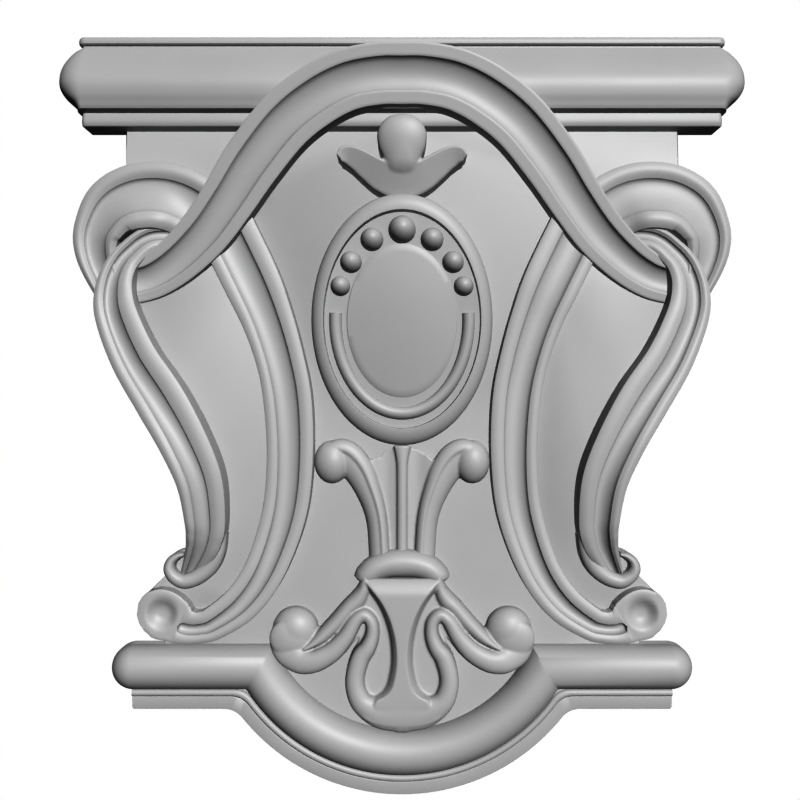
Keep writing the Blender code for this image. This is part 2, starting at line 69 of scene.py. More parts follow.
# How far the backs of the mouldings and of the ornament lie in front of the field's back
INSET = 0.2
FOOT = 0.4
# Lengths too small to count, when places are compared and when points are joined
HAIR = 0.01
TOUCHING = 0.0001
SHARP = math.radians(34)
METRES = 0.001
STAND_UP = Matrix.Scale(METRES, 4) @ Matrix.Rotation(math.pi / 2, 4, "X")


def on_field(u, v):
    """A place on the field, in hundredths of its half width and of its height."""
    return Vector((u / 100 * FIELD_HALF_WIDTH, FIELD_BOTTOM + v / 100 * FIELD_HEIGHT))


def eased(a, b, c, d, t):
    """The value at share t of the way from b to c, on a curve that also knows a and d."""
    bend = 2 * a - 5 * b + 4 * c - d
    turn = 3 * b - a - 3 * c + d
    return 0.5 * (2 * b + (c - a) * t + bend * t**2 + turn * t**3)


def smooth(stations, steps):
    """Rows along a curve through the stations, every column eased the same way."""
    rows = [stations[0], *stations, stations[-1]]
    found = []
    for a, b, c, d in zip(rows, rows[1:], rows[2:], rows[3:]):
        for step in range(steps):
            found.append([eased(*column, step / steps) for column in zip(a, b, c, d)])
    return [*found, list(stations[-1])]


def drawn_out(rings):
    """A closed mesh that starts as one face and is extruded from ring to ring."""
    mesh = bmesh.new()
    loop = [mesh.verts.new(point) for point in rings[0]]
    mesh.faces.new(loop)
    for ring in rings[1:]:
        edges = [mesh.edges.get(pair) for pair in zip(loop, loop[1:] + loop[:1])]
        grown = bmesh.ops.extrude_edge_only(mesh, edges=edges)["geom"]
        fresh = {item for item in grown if isinstance(item, bmesh.types.BMVert)}
        pairs = [[edge.other_vert(vert) for edge in vert.link_edges] for vert in loop]
        loop = [next(other for other in others if other in fresh) for others in pairs]
        for vert, point in zip(loop, ring):
            vert.co = point
    mesh.faces.new(loop)
    return mesh


def plate(outline, foot, depth):
    """A flat piece of this outline with its front edge softened."""
    mesh = drawn_out([[(x, y, z) for x, y in outline] for z in (foot, depth)])
    front = [e for e in mesh.edges if all(vert.co.z > depth - HAIR for vert in e.verts)]
    bmesh.ops.bevel(
        mesh, geom=front, offset=FRONT_EDGE, segments=2, profile=0.5, affect="EDGES", material=-1
    )
    return mesh


def cast(name, parts, finish, left=()):
    """One named piece from its parts: those drawn for the left side are mirrored as well."""
    whole = bmesh.new()
    for group in (left, parts):
        for part in group:
            spare = bpy.data.meshes.new("spare")
            part.to_mesh(spare)
            part.free()
            whole.from_mesh(spare)
            bpy.data.meshes.remove(spare)
        if group is left:
            side = [*whole.verts, *whole.edges, *whole.faces]
            bmesh.ops.mirror(whole, geom=side, axis="X", merge_dist=TOUCHING)
    bmesh.ops.remove_doubles(whole, verts=whole.verts, dist=TOUCHING)
    bmesh.ops.recalc_face_normals(whole, faces=whole.faces)
    bmesh.ops.transform(whole, matrix=STAND_UP, verts=whole.verts)
    for face in whole.faces:
        face.smooth = True
    mesh = bpy.data.meshes.new(name)
    whole.to_mesh(mesh)
    whole.free()
    mesh.set_sharp_from_angle(angle=SHARP)
    mesh.materials.append(finish)
    piece = bpy.data.objects.new(name, mesh)
    bpy.context.scene.collection.objects.link(piece)
    return piece


def both_halves(left):
    """A full outline from its left half, which runs from the middle line to the middle line."""
    right = [Vector((-place[0], place[1])) for place in reversed(left) if abs(place[0]) > HAIR]
    return [Vector(place) for place in left] + right


# The finish of the whole casting: a satin grey resin with the fine grain of the mould, and a
# faint mottle in its colour and its roughness.
RESIN_GREY = (0.26, 0.26, 0.26, 1)
RESIN_SHEEN = 0.25
MOTTLE_SCALE = 38
MOTTLE_DETAIL = 4
MOTTLE_DARKEST = 0.965
MOTTLE_LIGHTEST = 1.035
SMOOTHEST = 0.46
ROUGHEST = 0.56
GRAIN_SCALE = 1500
GRAIN_DETAIL = 3
GRAIN_STRENGTH = 0.06
GRAIN_HEIGHT = 0.0001


def resin_surface():
    """A node group that gives the resin's colour, roughness and grain from a place on it."""
    group = bpy.data.node_groups.new("resin_surface", "ShaderNodeTree")
    group.interface.new_socket("Place", in_out="INPUT", socket_type="NodeSocketVector")
    group.interface.new_socket("Base", in_out="INPUT", socket_type="NodeSocketColor")
    group.interface.new_socket("Colour", in_out="OUTPUT", socket_type="NodeSocketColor")
    group.interface.new_socket("Roughness", in_out="OUTPUT", socket_type="NodeSocketFloat")
    group.interface.new_socket("Grain", in_out="OUTPUT", socket_type="NodeSocketFloat")
    nodes = group.nodes
    link = group.links.new
    inside = nodes.new("NodeGroupInput")
    outside = nodes.new("NodeGroupOutput")
    mottle = nodes.new("ShaderNodeTexNoise")
    mottle.inputs["Scale"].default_value = MOTTLE_SCALE
    mottle.inputs["Detail"].default_value = MOTTLE_DETAIL
    grain = nodes.new("ShaderNodeTexNoise")
    grain.inputs["Scale"].default_value = GRAIN_SCALE
    grain.inputs["Detail"].default_value = GRAIN_DETAIL
    for noise in (mottle, grain):
        link(inside.outputs["Place"], noise.inputs["Vector"])
    shade = nodes.new("ShaderNodeMapRange")
    shade.inputs["To Min"].default_value = MOTTLE_DARKEST
    shade.inputs["To Max"].default_value = MOTTLE_LIGHTEST
    link(mottle.outputs["Fac"], shade.inputs["Value"])
    tint = nodes.new("ShaderNodeVectorMath")
    tint.operation = "SCALE"
    link(inside.outputs["Base"], tint.inputs[0])
    link(shade.outputs["Result"], tint.inputs["Scale"])
    link(tint.outputs["Vector"], outside.inputs["Colour"])
    satin = nodes.new("ShaderNodeMapRange")
    satin.inputs["To Min"].default_value = SMOOTHEST
    satin.inputs["To Max"].default_value = ROUGHEST
    link(mottle.outputs["Fac"], satin.inputs["Value"])
    link(satin.outputs["Result"], outside.inputs["Roughness"])
    link(grain.outputs["Fac"], outside.inputs["Grain"])
    return group


resin = bpy.data.materials.new("satin_resin")
resin.use_nodes = True
nodes = resin.node_tree.nodes
link = resin.node_tree.links.new
shader = nodes["Principled BSDF"]
shader.inputs["Specular IOR Level"].default_value = RESIN_SHEEN
place = nodes.new("ShaderNodeTexCoord")
surface = nodes.new("ShaderNodeGroup")
surface.node_tree = resin_surface()
surface.inputs["Base"].default_value = RESIN_GREY
link(place.outputs["Object"], surface.inputs["Place"])
link(surface.outputs["Colour"], shader.inputs["Base Color"])
link(surface.outputs["Roughness"], shader.inputs["Roughness"])
bump = nodes.new("ShaderNodeBump")
bump.inputs["Strength"].default_value = GRAIN_STRENGTH
bump.inputs["Distance"].default_value = GRAIN_HEIGHT
link(surface.outputs["Grain"], bump.inputs["Height"])
link(bump.outputs["Normal"], shader.inputs["Normal"])

# The base's middle line is also the field's lower edge: straight at the sides, an arc between.
BASE_LINE = -81.2
BASE_HALF_WIDTH = 88.7
BASE_ARC_RADIUS = 53.3
BASE_ARC_CENTRE = -56.0
ARC_STEPS = 48
EASE_STEPS = 8


def base_line(offset, ease=0.0):
    """The base moulding's line from the middle to the left end, set out by an offset.

    The corner between the arc and the straight is eased over a length to each side of it.
    """
    radius = BASE_ARC_RADIUS + offset
    straight = BASE_LINE - offset
    meeting = math.acos((BASE_ARC_CENTRE - straight) / radius)
    corner = Vector((-radius * math.sin(meeting), straight))
    turns = [(meeting - ease / radius) * i / ARC_STEPS for i in range(ARC_STEPS + 1)]
    line = [Vector((-radius * math.sin(a), BASE_ARC_CENTRE - radius * math.cos(a))) for a in turns]
    if ease:
        start = line[-1]
        end = corner - Vector((ease, 0))
        for i in range(1, EASE_STEPS + 1):
            t = i / EASE_STEPS
            line.append(start * (1 - t) ** 2 + corner * 2 * t * (1 - t) + end * t**2)
    return [*line, Vector((-BASE_HALF_WIDTH, straight))]


# Across and up the field, from its foot to the cornice, and then round the plate on it
field_side = [
    (-84.0, 7.3), (-77.0, 15.0), (-69.5, 21.9), (-69.0, 28.9), (-72.5, 36.9), (-80.0, 43.9),
    (-88.5, 51.3), (-96.5, 58.8), (-101.5, 66.8), (-105.5, 70.8), (-108.5, 76.8),
    (-105.0, 82.8), (-100.0, 85.7), (-100.0, 100.8),
]
foot_end = Vector((-FIELD_FOOT_HALF_WIDTH, BASE_LINE))
left = [*base_line(0)[:-1], foot_end, *[on_field(u, v) for u, v in field_side]]
field_outline = both_halves([*left, Vector((0, left[-1].y))])
console_side = [
    (-67.4, 5.4), (-78.0, 5.5), (-86.0, 6.0), (-91.0, 8.0), (-92.0, 9.4), (-90.0, 11.0),
    (-85.1, 13.3), (-80.5, 16.4), (-76.0, 18.6), (-70.0, 21.2), (-68.6, 25.1), (-70.3, 32.7),
    (-76.1, 40.2), (-84.1, 47.7), (-93.1, 55.1), (-99.4, 62.3), (-101.5, 66.9), (-98.0, 72.8),
    (-84.0, 79.0), (-66.0, 80.8), (-53.5, 70.5), (-43.2, 55.2), (-39.7, 40.0), (-42.3, 24.7),
    (-53.5, 10.9),
]
console_outline = [on_field(u, v) for u, v in console_side]
field = cast("field", [plate(field_outline, 0, FIELD_DEPTH)], resin)
console = cast("console_plates", [], resin, [plate(console_outline, FOOT, CONSOLE_DEPTH)])
for piece in (field, console):
    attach(piece, "root")
    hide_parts("onlay")

# Cornice
# The moulding along the top, run from a template before the mould was taken: a small fillet, a
# full roll that swells lowest, and a rounded fillet on top. It returns round both ends.
CORNICE_HALF_WIDTH = 103.4
CORNICE_DEPTH = 10.6
CORNICE_CORNER = 1.4
CORNER_STEPS = 10
CORNICE_ROLL_STEPS = 5
# Height up the part, then how far the profile reaches out in front and at the ends
profile = [
    (94.6, -0.5, -0.5), (94.62, -0.3, -0.3), (95.0, 0.0, 0.0), (96.5, 0.15, 0.15),
    (98.3, 0.0, 0.0), (98.85, -0.1, -0.1), (98.9, 0.0, 0.1), (98.92, 4.3, 1.0),
]
roll = [
    (99.0, 4.6, 0.8), (99.8, 4.95, 1.2), (101.1, 5.3, 2.3), (103.3, 5.9, 4.9), (106.3, 6.2, 6.8),
    (109.0, 5.8, 7.2), (112.2, 4.5, 6.8), (115.2, 2.9, 5.4), (118.2, 1.1, 2.8), (119.8, 0.1, 0.3),
]
profile += smooth(roll, CORNICE_ROLL_STEPS)
profile += [
    (120.0, -0.25, -0.1), (120.45, -0.3, -0.1), (120.6, 0.3, 0.5), (121.1, 0.75, 0.95),
    (121.9, 0.85, 1.05), (122.7, 0.7, 0.9), (123.1, 0.4, 0.6), (123.2, 0.0, 0.2),
]
turns = [math.pi / 2 * i / CORNER_STEPS for i in range(CORNER_STEPS + 1)]
rings = []
for height, reach, end_reach in profile:
    half = [(-CORNICE_HALF_WIDTH - end_reach, INSET)]
    for turn in reversed(turns):
        out = CORNICE_HALF_WIDTH - CORNICE_CORNER + (CORNICE_CORNER + end_reach) * math.sin(turn)
        ahead = CORNICE_DEPTH - CORNICE_CORNER + (CORNICE_CORNER + reach) * math.cos(turn)
        half.append((-out, ahead))
    full = half + [(-x, z) for x, z in reversed(half)]
    rings.append([(x, height, z) for x, z in full])
cornice = cast("cornice", [drawn_out(rings)], resin)
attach(cornice, "root")
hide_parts("onlay")

# Base moulding
# A half-round roll with a ball at each end, dipping in an arc at the middle. A thin board with a
# small bead along it shows below the roll. All of it is one casting with the field.
BASE_ROLL_RADIUS = 7.33
BASE_ROLL_STEPS = 32
ROLL_INSET = 0.9
ROLL_END_STEPS = 16
BOARD_DEPTH = 4.6
BOARD_TUCK = 3.0
BOARD_MARGIN = 6.8
BOARD_CORNER = 1.1
BOARD_END_STEPS = 6
BEAD_START = 0.25
BEAD_WIDTH = 2.2
BEAD_HEIGHT = 0.9
BEAD_STEPS = 8
CORNER_EASE = 4.0
turns = [math.pi * i / BASE_ROLL_STEPS for i in range(BASE_ROLL_STEPS + 1)]
arc = [(-math.cos(turn), math.sin(turn)) for turn in turns]
lines = [base_line(share * BASE_ROLL_RADIUS) for share, _ in arc]
for line in lines:
    line[-1].x += ROLL_INSET
rises = [rise * BASE_ROLL_RADIUS for _, rise in arc]
rings = []
for k in range(len(lines[0])):
    crown = [(*line[k], FIELD_DEPTH + rise) for line, rise in zip(lines, rises)]
    rings.append([(*lines[0][k], INSET), *crown, (*lines[-1][k], INSET)])
# The roll's end is turned to a quarter of a ball
for step in range(1, ROLL_END_STEPS + 1):
    turn = math.pi / 2 * step / ROLL_END_STEPS
    crown = []
    for line, rise in zip(lines, rises):
        ahead = FIELD_DEPTH + rise * math.cos(turn)
        crown.append((line[-1].x - rise * math.sin(turn), line[-1].y, ahead))
    rings.append([(*lines[0][-1], INSET), *crown, (*lines[-1][-1], INSET)])
rings.append([(x, y, INSET) for x, y, _ in rings[-1]])
base_roll = drawn_out(rings)
# Across the board, from under the roll outwards: how far out from the roll, and how high
board_section = [(-BOARD_TUCK, FOOT), (-BOARD_TUCK, BOARD_DEPTH), (0.1, BOARD_DEPTH + 0.2)]
for i in range(BEAD_STEPS + 1):
    turn = math.pi * i / BEAD_STEPS
    out = BEAD_START + BEAD_WIDTH * (1 - math.cos(turn)) / 2
    board_section.append((out, BOARD_DEPTH + BEAD_HEIGHT * math.sin(turn)))
board_section += [(BEAD_WIDTH + 0.4, BOARD_DEPTH - 0.15), (BEAD_WIDTH + 0.6, BOARD_DEPTH)]
board_section += [(BOARD_MARGIN - 0.4, BOARD_DEPTH), (BOARD_MARGIN - 0.1, BOARD_DEPTH - 0.12)]
board_section += [(BOARD_MARGIN, BOARD_DEPTH - 0.4), (BOARD_MARGIN, FOOT)]
lines = [base_line(BASE_ROLL_RADIUS + out, CORNER_EASE) for out, _ in board_section]
rings = []
for k in range(len(lines[0])):
    rings.append([(*line[k], z) for line, (_, z) in zip(lines, board_section)])
# The board ends with its lower corner rounded
rings[-1] = [(x + BOARD_CORNER, y, z) for x, y, z in rings[-1]]
for step in range(1, BOARD_END_STEPS + 1):
    turn = math.pi / 2 * step / BOARD_END_STEPS
    out = BOARD_CORNER * math.sin(turn)
    low = BASE_ROLL_RADIUS + BOARD_MARGIN - BOARD_CORNER * (1 - math.cos(turn))
    rings.append([(x - out, max(y, BASE_LINE - low), z) for x, y, z in rings[-step]])
board = drawn_out(rings)
base = cast("base_moulding", [], resin, [base_roll, board])
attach(base, "root")
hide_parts("onlay")

# Arch
# A flat band with a sunk cove along it, bent in an ogee over the whole field. It leans forward
# as it rises, and hangs free at its edges over a narrower web that joins it to the ground.
ARCH_FOOT = 11.0
ARCH_LEAN = 0.1435
ARCH_THICKNESS = 6.6
ARCH_WEB = 0.55
ARCH_RIM = 0.235
ARCH_COVE = 2.3
ARCH_STEPS = 10
RIM_ROUND = 0.7
RIM_BEND = 0.3
RIM_FALL = 0.45
RIM_STEPS = 6
COVE_BRINK = 0.18
COVE_STEPS = 18
# Across and up the field, then the band's width
arch_left = [
    (-95.4, 70.2, 13.8), (-88.1, 71.4, 14.2), (-79.5, 74.4, 15.1), (-69.8, 79.4, 16.4),
    (-61.2, 85.5, 17.3), (-52.4, 92.4, 18.5), (-41.2, 99.6, 18.9), (-29.8, 104.3, 19.0),
    (-19.0, 107.1, 18.9), (-8.3, 108.2, 18.9),
]


def across(line):
    """The left-hand direction at each point of a line."""
    found = []
    for i, _ in enumerate(line):
        ahead = line[min(i + 1, len(line) - 1)] - line[max(i - 1, 0)]
        found.append(Vector((-ahead.y, ahead.x)).normalized())
    return found


def band(route, section, steps):
    """A band along a route of rows (u, v, width, ...): section takes what follows the width."""
    stations = smooth(route, steps)
    line = [on_field(row[0], row[1]) for row in stations]
    rings = []
    for centre, side, (_, _, width, *rest) in zip(line, across(line), stations):
        places = [(centre + side * (width / 2 * share), z) for share, z in section(width, *rest)]
        rings.append([(at.x, at.y, z) for at, z in places])
    return drawn_out(rings)


def rim(start, end, height, swell, width, drops):
    """One rim of a band from share to share: it swells a little and drops over at each edge."""
    radius = RIM_ROUND / width
    bend = radius * RIM_BEND
    face = [(start, height - drops[0]), (start + bend, height - drops[0] * RIM_BEND)]
    for i in range(RIM_STEPS + 1):
        share = start + radius + (end - start - 2 * radius) * i / RIM_STEPS
        face.append((share, height + swell * math.sin(math.pi * i / RIM_STEPS)))
    return face + [(end - bend, height - drops[1] * RIM_BEND), (end, height - drops[1])]


def moulded(width, outer, inner, cove, rims, swell):
    """The face of a band: a rim at each side and a cove between, as shares across and heights."""
    low = 2 * rims[0] - 1
    high = 1 - 2 * rims[1]
    brink = cove * COVE_BRINK
    face = rim(-1, low, outer, swell, width, (RIM_FALL, brink))
    for i in range(1, COVE_STEPS):
        t = i / COVE_STEPS
        sunk = brink + (cove - brink) * math.sin(math.pi * t) ** 0.5
        face.append((low + (high - low) * t, outer + (inner - outer) * t - sunk))
    return face + rim(high, 1, inner, swell, width, (brink, RIM_FALL))


def lean(mesh, rise, foot_y):
    """Tips a part forward: all of it above its foot moves out by rise for each step up."""
    for vert in mesh.verts:
        if vert.co.z > FOOT + HAIR:
            vert.co.z += rise * (vert.co.y - foot_y)


def arch_section(width):
    """The arch's face, with an underside that steps in to the web."""
    under = ARCH_FOOT - ARCH_THICKNESS
    face = moulded(width, ARCH_FOOT, ARCH_FOOT, ARCH_COVE, (ARCH_RIM, ARCH_RIM), 0.0)
    under_face = [(1, under), (ARCH_WEB, under), (ARCH_WEB, FOOT)]
    return [(-share, z) for share, z in reversed(under_face)] + face + under_face


arch_route = arch_left + [(0.0, 108.3, 18.9)] + [(-u, v, w) for u, v, w in reversed(arch_left)]
arch_band = band(arch_route, arch_section, ARCH_STEPS)
lean(arch_band, ARCH_LEAN, on_field(*arch_left[0][:2]).y)
arch = cast("arch", [arch_band], resin)
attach(arch, "root")
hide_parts("onlay")

# Side scrolls
# Three bands carved as if cut from strips: an ear curling over the arch's foot, a strap that
# comes from inside it and runs down in an S, and a C scroll that ends in a dished volute.
BAND_FOOT = 2 * FOOT
BAND_STEPS = 12
EAR_OUTER_DEPTH = 9.3
EAR_RIM = 0.25
EAR_COVE = 2.0
EAR_SWELL = 0.6
STRAP_RIMS = (0.25, 0.38)
STRAP_COVE = 1.9
STRAP_SWELL = 0.45
SCROLL_INNER_RIM = 0.29
SCROLL_SHUT = 0.49
SCROLL_COVE = 2.1
SCROLL_SWELL = 0.3
VOLUTE_PLACE = (-84.7, 7.0)
VOLUTE_EYE = 5.6
VOLUTE_DISH = 2.2
VOLUTE_ROUNDNESS = 1.6
CURL_FOOT = 3 * FOOT
CURL_ROUND = 2.2
ROUND_STEPS = 16
# Across and up the field and the band's width, then the depth of its inner rim
ear_route = [
    (-66.7, 79.9, 19.4, 9.4), (-74.5, 84.5, 21.2, 9.9), (-84.3, 86.7, 22.0, 12.2),
    (-94.9, 86.6, 21.9, 12.7), (-103.0, 84.5, 20.4, 12.4), (-108.0, 80.6, 16.8, 11.9),
    (-109.2, 77.2, 14.7, 11.4), (-107.6, 73.0, 12.3, 10.8), (-102.9, 66.9, 9.1, 10.2),
]
# Across, up and the width again, then the depths of the outer and the inner rim
strap_route = [
    (-72.2, 78.4, 7.8, 7.6, 8.7), (-88.0, 78.7, 8.6, 9.9, 11.3), (-96.6, 75.4, 9.6, 11.2, 12.7),
    (-100.6, 71.5, 11.2, 12.4, 14.0), (-101.5, 66.9, 13.3, 13.4, 15.0),
    (-99.4, 62.3, 14.3, 14.4, 16.0), (-93.1, 55.1, 15.1, 16.5, 17.3),
    (-84.1, 47.7, 16.0, 18.6, 18.3), (-76.1, 40.2, 15.2, 20.0, 18.7),
    (-70.3, 32.7, 14.2, 19.8, 18.2), (-68.6, 25.1, 12.7, 18.1, 16.5),
    (-69.4, 21.2, 11.4, 16.4, 15.0), (-71.8, 17.9, 9.2, 13.8, 12.8), (-76.6, 13.4, 5.4, 9.4, 9.0),
]
# Across, up and the width, then the depth, the outer rim's share and how far the cove is open
scroll_route = [
    (-63.8, 81.7, 18.7, 10.2, 0.22, 1.0), (-53.5, 70.5, 18.3, 11.3, 0.22, 1.0),
    (-47.6, 62.9, 16.6, 11.3, 0.22, 1.0), (-43.2, 55.2, 15.6, 11.3, 0.22, 1.0),
    (-40.6, 47.7, 15.6, 11.3, 0.23, 1.0), (-39.7, 38.0, 15.0, 11.3, 0.24, 1.0),
    (-40.9, 28.5, 14.5, 11.3, 0.26, 1.0), (-44.4, 20.9, 13.7, 11.7, 0.28, 1.0),
    (-50.0, 13.8, 12.7, 12.4, 0.30, 1.0), (-57.5, 8.6, 12.0, 12.9, 0.33, 1.0),
    (-66.9, 5.1, 10.5, 13.3, 0.37, 1.0), (-71.5, 4.4, 10.1, 13.3, 0.39, 1.0),
    (-74.8, 4.4, 10.9, 13.3, 0.41, 1.0), (-76.9, 4.7, 12.2, 13.3, 0.42, 0.95),
    (-78.1, 5.0, 13.0, 13.3, 0.43, 0.7), (-78.8, 5.2, 13.4, 13.3, 0.43, 0.0),
    (-80.6, 5.8, 14.8, 13.3, 0.43, 0.0), (-83.1, 6.5, 16.0, 13.3, 0.43, 0.0),
    (-86.1, 7.2, 15.8, 13.3, 0.43, 0.0), (-89.4, 7.6, 13.2, 13.3, 0.43, 0.0),
    (-91.8, 7.8, 9.0, 13.2, 0.43, 0.0), (-93.2, 7.9, 3.8, 13.0, 0.43, 0.0),
]


def pinched(outer, opening):
    """The shares of the scroll's two rims: they meet over the cove as its opening closes."""
    shut = (1 - SCROLL_INNER_RIM - outer) * (1 - opening) * SCROLL_SHUT
    return outer + shut, SCROLL_INNER_RIM + shut


def standing(*face):
    """A moulded face with upright sides."""
    return [(-1, BAND_FOOT), *moulded(*face), (1, BAND_FOOT)]


def ear_section(width, inner):
    return standing(width, EAR_OUTER_DEPTH, inner, EAR_COVE, (EAR_RIM, EAR_RIM), EAR_SWELL)


def strap_section(width, outer, inner):
    return standing(width, outer, inner, STRAP_COVE, STRAP_RIMS, STRAP_SWELL)


def scroll_section(width, depth, outer_rim, opening):
    gap = max(opening, 0)
    rims = pinched(outer_rim, opening)
    return standing(width, depth, depth, SCROLL_COVE * gap**0.5, rims, SCROLL_SWELL * gap)


def rolled(crown, spring, foot=FOOT, fullness=1.0):
    """A half-round section: straight up from foot to spring, then round to crown."""
    turns = [math.pi * i / ROUND_STEPS for i in range(ROUND_STEPS + 1)]
    rises = [max(math.sin(a), 0) ** fullness for a in turns]
    arc = [(-math.cos(a), spring + (crown - spring) * rise) for a, rise in zip(turns, rises)]
    return [(-1, foot), *arc, (1, foot)]


ear_band = band(ear_route, ear_section, BAND_STEPS)
strap_band = band(strap_route, strap_section, BAND_STEPS)
scroll_band = band(scroll_route, scroll_section, BAND_STEPS)
eye = on_field(*VOLUTE_PLACE)
for vert in scroll_band.verts:
    away = (Vector((vert.co.x, vert.co.y)) - eye).length / VOLUTE_EYE
    if away < 1 and vert.co.z > CONSOLE_DEPTH:
        vert.co.z -= VOLUTE_DISH * (1 + math.cos(math.pi * away**VOLUTE_ROUNDNESS)) / 2
# Across, up and the width, then the depth of its crown
curl_route = [
    (-64.4, 22.4, 4.6, 13.6), (-65.5, 18.6, 5.0, 13.2), (-68.2, 15.8, 5.3, 12.8),
    (-72.5, 13.8, 5.1, 12.6), (-77.4, 12.9, 4.7, 12.6), (-81.0, 13.8, 4.2, 12.6),
    (-82.6, 15.3, 3.8, 12.6), (-81.9, 16.8, 3.1, 12.4), (-79.6, 17.8, 2.4, 12.2),
    (-77.4, 18.1, 1.7, 12.0),
]
curl = band(curl_route, lambda _, crown: rolled(crown, crown - CURL_ROUND, CURL_FOOT), BAND_STEPS)
scrolls = cast("side_scrolls", [], resin, [ear_band, strap_band, scroll_band, curl])
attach(scrolls, "root")
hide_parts("onlay")

# Medallion
# An oval with a rounded ring, leaning forward from its lower end. In it lie a low disc, seven
# pearls over the top and a rod bent round the bottom, all raised in the same casting.
OVAL_CENTRE = Vector((0, 31.8))
OVAL_HALF = (29.3, 40.3)
OVAL_LEAN = 0.114
OVAL_SIDES = 160
RING_SHARE = 0.868
RING_DEPTH = 7.8
RING_STEPS = 16
RING_LIP_SHARE = 0.004
RING_LIP_DEPTH = 0.15
FLOOR_DEPTH = 4.7
FLOOR_SHARE = 0.4
DISC_SHARE = 0.612
DISC_EDGE = 5.5
DISC_CROWN = 6.5
DISC_LIP_SHARE = 0.01
DISC_LIP_DEPTH = 0.25
DISC_FLAT = 0.975
DISC_STEPS = 12
# Degrees from the top to each side, then the radius
PEARLS = ((0.0, 4.4), (26.6, 3.7), (49.6, 3.5), (67.3, 3.2))
PEARL_SHARE = 0.728
PEARL_OVAL = (1.01, 0.99)
PEARL_FLATNESS = 0.63
PEARL_SUNK = 1
PEARL_SIDES = 40
PEARL_STEPS = 16
ROD_WIDTH = 4.1
ROD_DEPTH = 6.8
ROD_REACH = 1.03
ROD_START = 5.0
ROD_STEPS = 40


def ellipse(centre, half_width, half_height, sides):
    """The outline of an oval."""
    turns = [2 * math.pi * i / sides for i in range(sides)]
    reach = [Vector((half_width * math.cos(a), half_height * math.sin(a))) for a in turns]
    return [Vector(centre) + out for out in reach]


def swelling(outline, centre, rows):
    """A part whose outline shrinks towards its centre as it rises: rows of share and height."""
    rings = []
    for share, height in rows:
        places = [centre + (Vector(point) - centre) * share for point in outline]
        rings.append([(at.x, at.y, height) for at in places])
    return drawn_out(rings)


def domed(foot, spring, crown, steps):
    """Rows for a part that is upright from foot to spring and round above, up to its crown."""
    turns = [math.pi / 2 * i / steps for i in range(steps + 1)]
    return [(1, foot)] + [(math.cos(a), spring + (crown - spring) * math.sin(a)) for a in turns]


rows = [(1, FOOT)]
for i in range(RING_STEPS + 1):
    turn = math.pi / 2 * i / RING_STEPS
    rise = (RING_DEPTH - FLOOR_DEPTH) * math.sin(turn)
    rows.append((RING_SHARE + (1 - RING_SHARE) * math.cos(turn), FLOOR_DEPTH + rise))
rows.append((RING_SHARE - RING_LIP_SHARE, RING_DEPTH - RING_LIP_DEPTH))
rows += [(RING_SHARE - 2 * RING_LIP_SHARE, FLOOR_DEPTH), (FLOOR_SHARE, FLOOR_DEPTH)]
outline = ellipse(OVAL_CENTRE, *OVAL_HALF, OVAL_SIDES)
oval = swelling(outline, OVAL_CENTRE, rows)
rows = [(DISC_SHARE, FOOT), (DISC_SHARE, DISC_EDGE - DISC_LIP_DEPTH)]
rows.append((DISC_SHARE - DISC_LIP_SHARE, DISC_EDGE))
for i in range(1, DISC_STEPS + 1):
    t = i / DISC_STEPS
    rise = (DISC_CROWN - DISC_EDGE) * (1 - (1 - t) ** 2)
    rows.append((DISC_SHARE * (DISC_FLAT - DISC_FLAT * t), DISC_EDGE + rise))
disc = swelling(outline, OVAL_CENTRE, rows)
wide = OVAL_HALF[0] * PEARL_SHARE * PEARL_OVAL[0]
tall = OVAL_HALF[1] * PEARL_SHARE * PEARL_OVAL[1]
pearls = []
for angle, radius in PEARLS:
    turn = math.radians(angle)
    crown = FLOOR_DEPTH + 2 * radius * PEARL_FLATNESS
    rows = domed(FLOOR_DEPTH - PEARL_SUNK, FLOOR_DEPTH, crown, PEARL_STEPS)
    for hand in (-1, 1) if angle else (1,):
        at = Vector((hand * wide * math.sin(turn), OVAL_CENTRE.y + tall * math.cos(turn)))
        pearls.append(swelling(ellipse(at, radius, radius, PEARL_SIDES), at, rows))
rod_route = []
for i in range(ROD_STEPS + 1):
    turn = math.radians(180 - ROD_START + (180 + 2 * ROD_START) * i / ROD_STEPS)
    at = Vector((wide * math.cos(turn), tall * ROD_REACH * math.sin(turn))) + OVAL_CENTRE
    u = at.x / FIELD_HALF_WIDTH * 100
    v = (at.y - FIELD_BOTTOM) / FIELD_HEIGHT * 100
    rod_route.append((u, v, ROD_WIDTH))
rod = band(rod_route, lambda _: rolled(ROD_DEPTH, FLOOR_DEPTH), 2)
medallion_parts = [oval, disc, *pearls, rod]
for part in medallion_parts:
    lean(part, OVAL_LEAN, OVAL_CENTRE.y - OVAL_HALF[1])
medallion = cast("medallion", medallion_parts, resin)
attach(medallion, "root")
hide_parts("onlay")

# Palmette
# A bud over the medallion with a leaf spread to each side, cut thick with upright edges and then
# softened by hand. Both are raised in the same casting.
BUD_PLACE = (0, 97.0)
BUD_DEPTH = 16.8
BUD_SPRING = 14.2
BUD_LEAN = 0.10
BUD_STEPS = 16
BUD_OUTLINE_STEPS = 6
NECK_PLACE = (0, 93.0)
NECK_DROP = 0.045
LEAF_DEPTH = 14.6
LEAF_DROP = 0.30
LEAF_STEPS = 10
LEAF_FACE_START = -0.88
LEAF_FACE_WIDTH = 1.64
LEAF_FACE_STEPS = 8
PALMETTE_ROUNDS = 10
SOFTNESS = 0.5
# In metres, as the modifier takes it
VOXEL = 0.00035


def softened(piece, rounds):
    """The parts of a piece run together and softened, as a knife and wax leave them."""
    merged = piece.modifiers.new("run_together", "REMESH")
    merged.mode = "VOXEL"
    merged.voxel_size = VOXEL
    merged.use_smooth_shade = True
    soft = piece.modifiers.new("softened", "SMOOTH")
    soft.factor = SOFTNESS
    soft.iterations = rounds
    return piece


